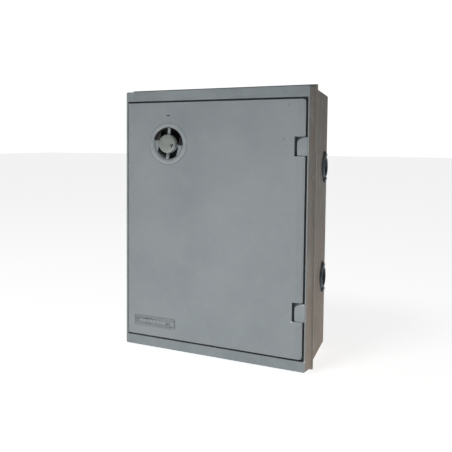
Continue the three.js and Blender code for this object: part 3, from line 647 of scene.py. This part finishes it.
tinned_copper = metal("tinned_copper", shown(206, 202, 194), shown(150, 128, 104), 0.36, 0.5)
for row in ("load", "line"):
    for column in ("left", "right"):
        jaw = rounded(whole_copy(f"{row}_jaw_{column}", f"{row}_jaw_{column}_strip"), 0.0005, 2, 20)
        stands_for(jaw, f"{row}_jaw_{column}", tinned_copper)
        lug = rounded(whole_copy(f"{row}_lug_{column}", f"{row}_lug_{column}_block"), 0.0010, 2)
        stands_for(lug, f"{row}_lug_{column}", tinned_copper)
pan_screws([f"{row}_lug_screw_{column}" for row in ("load", "line") for column in ("left", "right")],
           0.0035, 0.0033, "front")
pan_screws(numbered("socket_screw", 2), 0.0026, 0.0022, "front")

# The neutral and earth bars: two lengths of square brass rod, one at each side of the socket. Each
# is drilled and tapped for its two screws, and has gone dull.
bar_brass = metal("bar_brass", shown(190, 156, 92), shown(120, 92, 56), 0.36, 0.7)
for name in ("neutral", "earth"):
    rod = rounded(whole_copy(f"{name}_bar", f"{name}_rod"), 0.0008, 2)
    stands_for(rod, f"{name}_bar", bar_brass)
    pan_screws(numbered(f"{name}_bar_screw", 2), 0.003, 0.0024, "front")

# The front frame: a flared grey moulding that closes the gap to the wall, with an inner ledge that
# the door's seal shuts against. Its right-hand wall is stained like the box behind it.
chip, given, result = effect(
    "chip", [("Centre", "Vector", (0, 0, 0)), ("Radius", "Float", 0.004)], [("Mask", "Float")])
tree = chip
ragged = maths(tree, "MULTIPLY", noise(tree, object_place(tree), 380, 4, 0.7), given["Radius"])
away = add_node(tree, "VectorMath", {0: object_place(tree), 1: given["Centre"]}, operation="DISTANCE")
reach = maths(tree, "ADD", away.outputs["Value"], ragged)
core = maths(tree, "MULTIPLY", given["Radius"], 0.75)
tree.links.new(spread(tree, reach, given["Radius"], core), result["Mask"])

frame_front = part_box("front_frame")[0].y
backwards = Vector((0, 1, 0))
bare_plastic = shown(226, 228, 228)
frame_moulding = rounded(whole_copy("front_frame", "frame_moulding"), 0.0010)
frame_plastic, tree, shader = moulding(
    "frame_plastic", shown(136, 144, 147), shown(150, 157, 159), shown(120, 127, 130), 0.52,
    grain=0.3, patch=6, wear_and_sheen=0.4, dust=0.25)
facing_side = spread(tree, maths(tree, "ABSOLUTE", normal_parts(tree)["X"]), 0.5, 0.95)
parts = place_parts(tree)
behind = spread(tree, parts["Y"], frame_front + 0.005, frame_front + 0.007)
strip_side, past_side = 0.2146, 0.2150
past_strips = spread(tree, maths(tree, "ABSOLUTE", parts["X"]), strip_side, past_side)
outside = maths(tree, "MULTIPLY", behind, past_strips)
on_side = maths(tree, "MAXIMUM", facing_side, outside)
side_stain(tree, shader, on_side)
bare = masked(tree, chip, 0.9, Centre=(0.2125, frame_front, -0.2745), Radius=0.005)
over(tree, shader, bare, bare_plastic)
stands_for(frame_moulding, "front_frame", frame_plastic)


def flat_screws(nodes, head_height, shank):
    """One countersunk screw made in the first node's space, and copied to the other nodes."""
    low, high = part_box(nodes[0])
    centre = (low + high) / 2
    top = Vector((centre.x, low.y, centre.z))
    head = (high.x - low.x) / 2
    reach = high.y - low.y
    screw = turned(nodes[0] + "_made", [
        (0, 0), (head - 0.0002, 0), (head, 0.0002), (shank, head_height), (shank, reach - shank),
        (shank * 0.3, reach), (0, reach)], top, backwards, upright, 32)
    joined(screw, bar("slot", (0.001, 0.0024, head * 2.4), top), "DIFFERENCE")
    rounded(screw, 0.00015, 1, 40)
    for number, node in enumerate(nodes):
        turn = math.radians(20 + 73 * number)
        copy = repeated(screw, node + "_turned", middle(node) - centre, turn, centre)
        stands_for(copy, node, plated_steel)
    bpy.data.objects.remove(screw)


flat_screws(numbered("frame_screw", 4), 0.0021, 0.0021)

# The hinges: a moulded block fills each notch of the door and holds a steel pin that runs on into
# the door above and below it. Two screws from behind the ledge hold each block.
block_plastic, tree, shader = moulding(
    "block_plastic", shown(142, 150, 153), shown(158, 165, 168), shown(128, 135, 138), 0.5,
    grain=0.3, patch=20, wear_and_sheen=0.6, dust=0.3)
block_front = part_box("lower_hinge_block")[0].y
bare = masked(tree, chip, 0.9, Centre=(0.2095, block_front, -0.1545), Radius=0.004)
over(tree, shader, bare, bare_plastic)
pin_chamfer = 0.0006
for place in ("lower", "upper"):
    block = rounded(whole_copy(f"{place}_hinge_block", f"{place}_block_moulding"), 0.0014)
    stands_for(block, f"{place}_hinge_block", block_plastic)
    low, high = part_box(f"{place}_hinge_pin")
    pin_radius, pin_length = (high.x - low.x) / 2, high.z - low.z
    base = Vector(((low.x + high.x) / 2, (low.y + high.y) / 2, low.z))
    pin = turned(f"{place}_pin_rod", [
        (0, 0), (pin_radius - pin_chamfer, 0), (pin_radius, pin_chamfer),
        (pin_radius, pin_length - pin_chamfer), (pin_radius - pin_chamfer, pin_length),
        (0, pin_length)], base, upright, (1, 0, 0), 40)
    rounded(pin, 0.0002, 2)
    stands_for(pin, f"{place}_hinge_pin", plated_steel)
    pan_screws(numbered(f"{place}_block_screw", 2), 0.0024, 0.0019, "rear")

# The door: a moulded tray with ribs on its back, matt blue-grey. Its hinge edge is rolled, behind
# a faint crease, and its front carries small scuffs.
door_low, door_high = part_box("door_panel")
door_front, door_right = door_low.y, door_high.x
crease_lines = (0.0165, 0.0145, 0.0045)
rolled_back = ((0.0146, 0.0006), (0.0046, 0.0010), (0.0006, 0.0010))
door_skin = 0.0022
door_moulding = whole_copy("door_panel", "door_moulding")
only(door_moulding)
bpy.ops.object.mode_set(mode="EDIT")
for inset in crease_lines:
    bpy.ops.mesh.select_all(action="SELECT")
    bpy.ops.mesh.bisect(plane_co=(door_right - inset, 0, 0), plane_no=(1, 0, 0))
bpy.ops.mesh.select_mode(type="VERT")
for inset, back in rolled_back:
    bpy.ops.mesh.select_all(action="DESELECT")
    mesh = bmesh.from_edit_mesh(door_moulding.data)
    for vert in mesh.verts:
        vert.select_set(vert.co.y < door_front + door_skin and vert.co.x > door_right - inset)
    mesh.select_flush_mode()
    bmesh.update_edit_mesh(door_moulding.data)
    bpy.ops.transform.translate(value=(0, back, 0))
bpy.ops.object.mode_set(mode="OBJECT")
rounded(door_moulding, 0.0013, 4)
door_plastic, tree, shader = moulding(
    "door_plastic", shown(144, 151, 154), shown(156, 162, 164), shown(130, 138, 141), 0.5,
    grain=0.3, patch=4.5, wear_and_sheen=0.45, dust=0.2)
lock_low, lock_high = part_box("lock_escutcheon")
lock_x, lock_z = (lock_low.x + lock_high.x) / 2, (lock_low.z + lock_high.z) / 2
index_z = lock_z + 0.064
ring_radius = (lock_high.x - lock_low.x) / 2
scuff_grey, ring_shadow_grey, index_slot_shade = shown(96, 104, 108), shown(74, 82, 86), shown(40, 44, 46)
scuffs = (
    ((0.1723, 0.2604), 0.006, 0.35), ((0.1632, 0.1884), 0.006, 0.45), ((0.1605, -0.1832), 0.005, 0.4),
    ((0.1480, 0.1790), 0.004, 0.4), ((0.1700, 0.1760), 0.004, 0.4), ((0.1565, 0.1835), 0.003, 0.4))
for (x, z), radius, strength in scuffs:
    scuff = masked(tree, chip, strength, Centre=(x, door_front, z), Radius=radius)
    over(tree, shader, scuff, scuff_grey)


def round_axis(tree, centre):
    """Each point's offset from a centre, and its distance from the line straight back through it."""
    away = add_node(tree, "VectorMath", {0: object_place(tree), 1: centre}, operation="SUBTRACT")
    offset = add_node(tree, "SeparateXYZ", {0: away.outputs[0]}).outputs
    flat = add_node(tree, "CombineXYZ", {"X": offset["X"], "Z": offset["Z"]}).outputs[0]
    return offset, add_node(tree, "VectorMath", {0: flat}, operation="LENGTH").outputs["Value"]


# Painted shadow: a dark band on the door just outside the lower half of the proud lock ring.
offset, radial = round_axis(tree, (lock_x, door_front, lock_z))
past_ring = spread(tree, radial, ring_radius + 0.0016, ring_radius + 0.0004)
low_half = spread(tree, offset["Z"], 0.004, -0.022)
ring_shadow = maths(tree, "MULTIPLY", maths(tree, "MULTIPLY", past_ring, low_half), 0.8)
over(tree, shader, ring_shadow, ring_shadow_grey)
# The inside of the small index slot above the lock is painted near black: painted shade, as in a deeper
# slot.
in_mark = masked(tree, chip, 1.0, Centre=(lock_x, door_front, index_z), Radius=0.012)
depth = place_parts(tree)["Y"]
sunk = spread(tree, depth, door_front + 0.0002, door_front + 0.0005)
over(tree, shader, maths(tree, "MULTIPLY", in_mark, sunk), index_slot_shade)
bright_chips = (((0.1850, -0.1940), 0.0045), ((0.2066, -0.2720), 0.004), ((0.1975, -0.1945), 0.002))
for (x, z), radius in bright_chips:
    bare = masked(tree, chip, 0.9, Centre=(x, door_front, z), Radius=radius)
    over(tree, shader, bare, bare_plastic)
stands_for(door_moulding, "door_panel", door_plastic)

# The door seal: a strip of soft foam rubber with a rounded face. It is stuck all round on the
# raised land at the back of the door, and closes against the frame's ledge.
gasket_rubber, tree, shader = moulding(
    "gasket_rubber", shown(30, 31, 32), shown(48, 49, 50), shown(18, 18, 19), 0.9,
    grain=0.6, patch=60, wear_and_sheen=0.1, dust=0.3)
seal = rounded(whole_copy("door_gasket", "seal_strip"), 0.0017, 4)
stands_for(seal, "door_gasket", gasket_rubber)

# The label plate: a thin moulded plate let into the door, with a raised rim. Its relief is plain:
# one long rule, a row of equal blocks and a short rule, with nothing written on it.
low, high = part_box("label_plate")
plate_middle = (low + high) / 2
plate_front, side_gap = low.y, 0.0007
plate_width = high.x - low.x - 2 * side_gap
plate_height = high.z - low.z - 2 * side_gap
floor_y = plate_front + 0.0010
label = bar("label_moulding", (plate_width, high.y - floor_y, plate_height),
            (plate_middle.x, (floor_y + high.y) / 2, plate_middle.z))
rim = 0.0016
rim_y, rim_thick = (plate_front + high.y) / 2, high.y - plate_front
for side in (-1, 1):
    joined(label, bar("rail", (plate_width, rim_thick, rim),
                      (plate_middle.x, rim_y, plate_middle.z + side * (plate_height - rim) / 2)))
    joined(label, bar("stile", (rim, rim_thick, plate_height),
                      (plate_middle.x + side * (plate_width - rim) / 2, rim_y, plate_middle.z)))


def relief_block(across, up, width, height):
    """A raised block on the label, placed from the middle of the plate."""
    place = (plate_middle.x + across, floor_y - 0.0001, plate_middle.z + up)
    joined(label, bar("relief", (width, 0.0008, height), place))


relief_block(-0.036, 0.0062, 0.022, 0.0016)
block_count, block_step = 8, 0.0088
for number in range(block_count):
    relief_block(-0.036 + block_step * number, 0.0002, 0.0062, 0.0052)
relief_block(0.0455, 0.0002, 0.005, 0.0078)
relief_block(-0.030, -0.0066, 0.034, 0.0014)
relief_block(0.020, -0.0066, 0.044, 0.0014)
rounded(label, 0.00022, 2)
label_plastic, tree, shader = moulding(
    "label_plastic", shown(150, 157, 160), shown(164, 170, 172), shown(134, 142, 145), 0.5,
    grain=0.2, patch=20, wear_and_sheen=0.6, dust=0.2)
depth = place_parts(tree)["Y"]
sunk = spread(tree, depth, floor_y - 0.0005, floor_y - 0.0001)
over(tree, shader, maths(tree, "MULTIPLY", sunk, 0.45), shown(104, 111, 114))
stands_for(label, "label_plate", label_plastic)

# The lock: a moulded ring and cup let into the door and held from behind by a threaded ring. The
# upper part of the dish inside the ring is painted near black: painted shade under its upper lip.
lock_centre = Vector((lock_x, 0, lock_z))
ring_front, cup_rear = lock_low.y, lock_high.y
mouth, bore, cup, floor_thick, cup_floor_hole = 0.038, 0.034, 0.037, 0.003, 0.009
cup_floor = cup_rear - floor_thick
seat = door_front - 0.0003
escutcheon = turned("lock_ring_and_cup", [
    (cup_floor_hole, cup_floor), (bore - 0.002, cup_floor), (bore - 0.0006, cup_floor - 0.0006),
    (bore, cup_floor - 0.002), (bore, door_front + 0.0037), (bore + 0.0004, door_front + 0.0030),
    (mouth - 0.0006, ring_front + 0.0009), (mouth + 0.0004, ring_front + 0.0001),
    (mouth + 0.0012, ring_front), (ring_radius - 0.0022, ring_front),
    (ring_radius - 0.0010, ring_front + 0.0002), (ring_radius - 0.0003, ring_front + 0.0007),
    (ring_radius, ring_front + 0.0013), (ring_radius, seat), (cup, seat), (cup, cup_rear),
    (cup_floor_hole, cup_rear), (cup_floor_hole, cup_floor),
], lock_centre, backwards, upright, 128)
only(escutcheon)
bpy.ops.object.shade_smooth_by_angle(angle=math.radians(28))

# Painted shade: a mask for the upper part of the lock dish under its lip, with a slightly tilted lower
# edge.
lip_shade, given, result = effect(
    "lip_shade", [("Centre", "Vector", (0, 0, 0)), ("Radius", "Float", 0.038), ("Depth", "Float", 0.0)],
    [("Mask", "Float")])
tree = lip_shade
offset, radial = round_axis(tree, given["Centre"])
inside = spread(tree, radial, given["Radius"], maths(tree, "SUBTRACT", given["Radius"], 0.0012))
lowest = maths(tree, "MULTIPLY_ADD", noise(tree, object_place(tree), 120, 4, 0.6), 0.008, -0.004)
across = maths(tree, "MULTIPLY_ADD", offset["X"], 0.2, lowest)
upper = spread(tree, maths(tree, "ADD", offset["Z"], across), 0.0, 0.004)
sunk = spread(tree, offset["Y"], given["Depth"], maths(tree, "ADD", given["Depth"], 0.0006))
shaded = maths(tree, "MULTIPLY", maths(tree, "MULTIPLY", inside, upper), sunk, clamp=True)
tree.links.new(shaded, result["Mask"])

lock_greys = shown(150, 157, 160), shown(166, 172, 175), shown(132, 139, 142)
lock_plastic, tree, shader = moulding(
    "lock_plastic", *lock_greys, 0.42, grain=0.15, patch=30, wear_and_sheen=0.35, dust=0.1)
# The upper part of the dish is painted near black as painted shade.
lip_shadow_mask = masked(tree, lip_shade, 1.0, Centre=lock_centre, Radius=mouth, Depth=ring_front + 0.0002)
over(tree, shader, lip_shadow_mask, shown(30, 31, 28))
stands_for(escutcheon, "lock_escutcheon", lock_plastic)

low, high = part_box("lock_retaining_ring")
retainer_radius, retainer_inner = (high.x - low.x) / 2, cup + 0.0003
retainer = turned("lock_threaded_ring", [
    (retainer_inner, low.y), (retainer_radius - 0.0008, low.y), (retainer_radius, low.y + 0.0008),
    (retainer_radius, high.y - 0.0008), (retainer_radius - 0.0008, high.y),
    (retainer_inner, high.y), (retainer_inner, low.y)], lock_centre, backwards, upright)
spanner_notches = 8
for number in range(spanner_notches):
    turn_by = math.tau * number / spanner_notches
    out = Vector((math.sin(turn_by), 0, math.cos(turn_by)))
    place = lock_centre + out * retainer_radius + Vector((0, high.y, 0))
    joined(retainer, bar("notch", (0.006, 0.005, 0.005), place, (0, turn_by, 0)), "DIFFERENCE")
rounded(retainer, 0.0004, 2)
stands_for(retainer, "lock_retaining_ring", lock_plastic)

# The turn handle: a moulded disc with a bar and a round boss across it, and two deep finger
# pockets. It stands a few degrees off upright. A zinc cap closes the boss round the key barrel.
tilt = math.radians(4)
handle_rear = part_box("lock_handle")[1].y
# Depth behind which the handle takes the painted shade under the dish's lip.
handle_shade_depth = door_front + 0.0030
cup_gap = 0.0003
handle_radius = bore - 0.0005
base_rear = cup_floor - cup_gap
pocket_floor = base_rear - 0.003
ledge_rim, ledge_foot, ledge_chord = door_front + 0.0035, door_front + 0.0060, 0.0243
chord_turn, arm_width = math.radians(8), 0.012
boss_radius, web_width = 0.021, 0.006
foot_radius, skirt = 0.020, base_rear - 0.001
cap_low, cap_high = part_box("lock_cap")
boss_front = cap_high.y + cup_gap
handle = turned("lock_turn_handle", [
    (0, pocket_floor), (handle_radius, pocket_floor), (handle_radius, base_rear), (0, base_rear),
], lock_centre, backwards, upright, 96)
wings = turned("wings", [
    (foot_radius, ledge_foot), (handle_radius - 0.0008, ledge_rim + 0.0001),
    (handle_radius, ledge_rim + 0.0002), (handle_radius, skirt), (foot_radius, skirt),
    (foot_radius, ledge_foot),
], lock_centre, backwards, upright, 96)
pocket_middle = lock_centre + Vector((0, (ledge_rim + base_rear) / 2, 0))
pocket = bar("pocket", (2 * ledge_chord, 0.04, 0.08), pocket_middle, (0, tilt + chord_turn, 0))
joined(wings, pocket, "DIFFERENCE")
joined(handle, wings)
arm_middle = lock_centre + Vector((0, (ledge_foot + base_rear) / 2, 0))
arm_size = (2 * ledge_chord + 0.002, base_rear - ledge_foot, arm_width)
joined(handle, bar("arm", arm_size, arm_middle, (0, tilt, 0)))
web_front = door_front + 0.0012
web_middle = lock_centre + Vector((0, (web_front + base_rear) / 2, 0))
web = bar("web", (web_width, base_rear - web_front, 0.08), web_middle, (0, tilt, 0))
web_reach = mouth - 0.0028
reach = turned("reach", [
    (0, web_front - 0.001), (web_reach, web_front - 0.001), (web_reach, web_front + 0.0002),
    (handle_radius, ledge_rim + 0.0002), (handle_radius, skirt), (0, skirt),
], lock_centre, backwards, upright, 96)
joined(web, reach, "INTERSECT")
joined(handle, web)
joined(handle, turned("boss", [
    (0, boss_front), (boss_radius, boss_front), (boss_radius + 0.0003, skirt), (0, skirt),
], lock_centre, backwards, upright, 96))
stem_radius, stem_end, square = 0.0086, cup_rear + 0.0005, 0.010
joined(handle, turned("stem", [
    (0, skirt), (stem_radius, skirt), (stem_radius, stem_end), (0, stem_end),
], lock_centre, backwards, upright, 64))
joined(handle, bar("square", (square, handle_rear - cup_floor, square),
                   lock_centre + Vector((0, (handle_rear + cup_floor) / 2, 0)), (0, tilt, 0)))
key_low, key_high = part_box("key_barrel")
key_centre = Vector(((key_low.x + key_high.x) / 2, 0, (key_low.z + key_high.z) / 2))
key_radius = (key_high.z - key_low.z) / 2
barrel_hole = key_radius + 0.0003
joined(handle, turned("barrel_hole", [
    (0, boss_front - 0.01), (barrel_hole, boss_front - 0.01), (barrel_hole, key_high.y + 0.001),
    (0, key_high.y + 0.001)], key_centre, backwards, upright, 48), "DIFFERENCE")
tapped, tapped_end = 0.0028, handle_rear - 0.011
joined(handle, turned("screw_hole", [
    (0, tapped_end), (tapped, tapped_end), (tapped, handle_rear + 0.001), (0, handle_rear + 0.001),
], lock_centre, backwards, upright, 32), "DIFFERENCE")
rounded(handle, 0.0005, 2)
handle_plastic, tree, shader = moulding(
    "handle_plastic", *lock_greys, 0.45, grain=0.15, patch=30, wear_and_sheen=0.4, dust=0.1)
# The handle is painted near black under the dish's upper lip as painted shade.
lip_shadow_mask = masked(tree, lip_shade, 1.0, Centre=lock_centre, Radius=mouth, Depth=handle_shade_depth)
over(tree, shader, lip_shadow_mask, shown(26, 27, 25))
depth = place_parts(tree)["Y"]
# The finger pockets are painted near black behind the ledges: painted shade in the recess.
pocket_shade = spread(tree, depth, ledge_foot + 0.0008, ledge_foot + 0.003)
over(tree, shader, maths(tree, "MULTIPLY", pocket_shade, 0.95), shown(26, 28, 28))
stands_for(handle, "lock_handle", handle_plastic)

cap_radius = boss_radius - 0.0002
cap = turned("lock_boss_cap", [
    (0, cap_low.y), (0.010, cap_low.y + 0.00003), (cap_radius - 0.0022, cap_low.y + 0.0001),
    (cap_radius - 0.0012, cap_low.y + 0.0003), (cap_radius - 0.0004, cap_low.y + 0.0009),
    (cap_radius, cap_low.y + 0.0016), (cap_radius, cap_high.y), (0, cap_high.y),
], lock_centre, backwards, upright, 96)
joined(cap, turned("barrel_hole", [
    (0, cap_low.y - 0.005), (barrel_hole, cap_low.y - 0.005), (barrel_hole, cap_high.y + 0.005),
    (0, cap_high.y + 0.005)], key_centre, backwards, upright, 48), "DIFFERENCE")
only(cap)
bpy.ops.object.shade_smooth_by_angle(angle=math.radians(35))
zinc_greys = shown(162, 166, 162), shown(136, 140, 134)
zinc = metal("cast_zinc", *zinc_greys, 0.55, 0.6, 260.0, 90.0)
stands_for(cap, "lock_cap", zinc)

# The key barrel: a turned zinc plug with a short keyway and a ward beside it. It turns in the boss
# and in the cap, a little off their middle.
barrel = turned("key_plug", [
    (0, key_low.y), (key_radius - 0.0006, key_low.y), (key_radius, key_low.y + 0.0005),
    (key_radius, key_high.y - 0.0005), (key_radius - 0.0005, key_high.y), (0, key_high.y),
], key_centre, backwards, upright, 48)
keyway = key_centre + Vector((0, key_low.y, 0))
joined(barrel, bar("keyway", (0.0024, 0.018, 0.0070), keyway, (0, tilt, 0)), "DIFFERENCE")
ward = bar("ward", (0.0044, 0.018, 0.0024), keyway + Vector((0.0014, 0, 0.0023)), (0, tilt, 0))
joined(barrel, ward, "DIFFERENCE")
rounded(barrel, 0.0001, 1, 40)
plug_zinc = metal("plug_zinc", *zinc_greys, 0.5, 0.6, 260.0, 90.0)
tree = plug_zinc.node_tree
depth = place_parts(tree)["Y"]
# The inside of the keyway is painted black: painted shade.
keyway_shade = spread(tree, depth, key_low.y + 0.0006, key_low.y + 0.0014)
over(tree, tree.nodes["Principled BSDF"], keyway_shade, shown(14, 14, 14))
stands_for(barrel, "key_barrel", plug_zinc)

# Behind the door: a cam of plated steel strip on the handle's square end. When the handle turns, the
# cam swings behind the frame's ledge. A washer and a pan-head screw hold it on.
cam = rounded(whole_copy("lock_cam", "lock_cam_strip"), 0.0006, 2)
stands_for(cam, "lock_cam", plated_steel)
washer = rounded(whole_copy("cam_washer", "cam_washer_disc"), 0.0003, 2)
stands_for(washer, "cam_washer", plated_steel)
pan_screws(["cam_screw"], 0.003, 0.0025, "rear")
